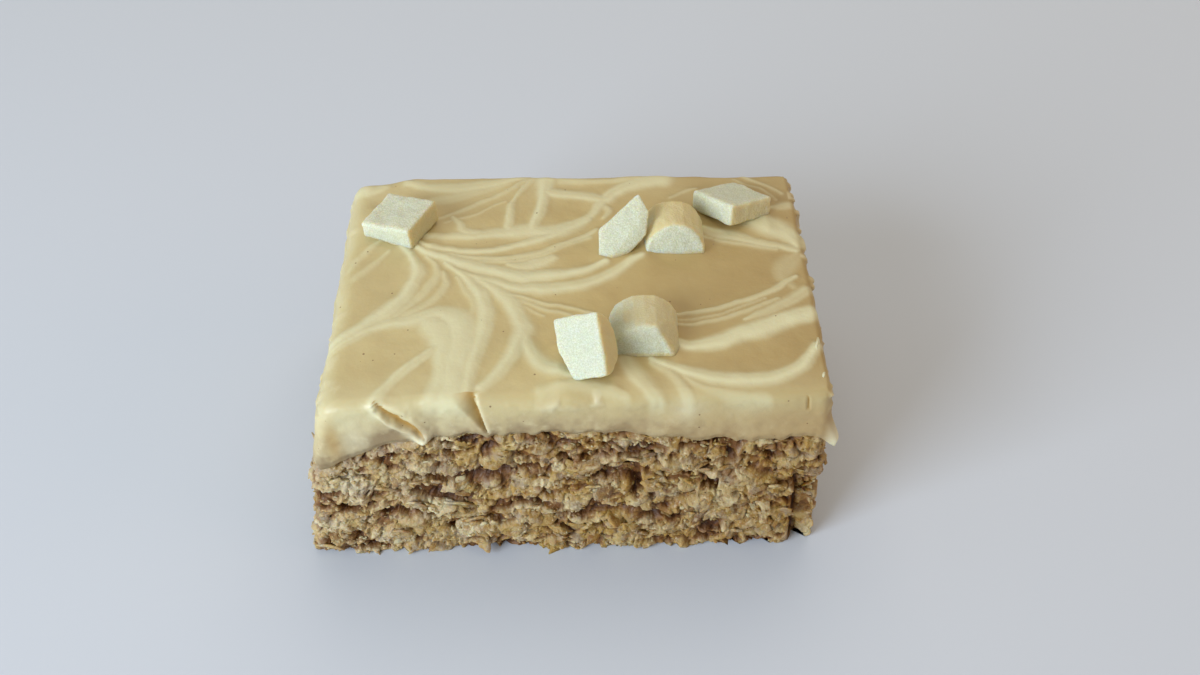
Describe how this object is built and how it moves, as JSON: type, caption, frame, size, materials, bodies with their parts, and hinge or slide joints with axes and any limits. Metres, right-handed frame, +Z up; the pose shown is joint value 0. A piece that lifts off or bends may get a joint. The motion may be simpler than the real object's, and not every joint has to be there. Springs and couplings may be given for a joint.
{
  "type": "oat slice",
  "caption": "Baked oat slice under a thick layer of swirled icing with pieces of white chocolate set in the top.",
  "frame": {"origin": "on the underside, in the middle of the bounding box", "axes": "+X along the long side, +Y from the cut front to the back, +Z up out of the icing"},
  "size_m": [0.0874, 0.0624, 0.0448],
  "materials": {
    "baked_oats": "craggy, matte",
    "caramel_icing": "soft, satin",
    "white_chocolate": "powdery, satin"
  },
  "bodies": {
    "root": {"oat_base": "baked_oats", "icing": "caramel_icing", "chunk_back_left": "white_chocolate", "chunk_back_right": "white_chocolate", "chunk_back_wedge": "white_chocolate", "chunk_back_half": "white_chocolate", "chunk_front_cube": "white_chocolate", "chunk_front_half": "white_chocolate"}
  },
  "joints": []
}
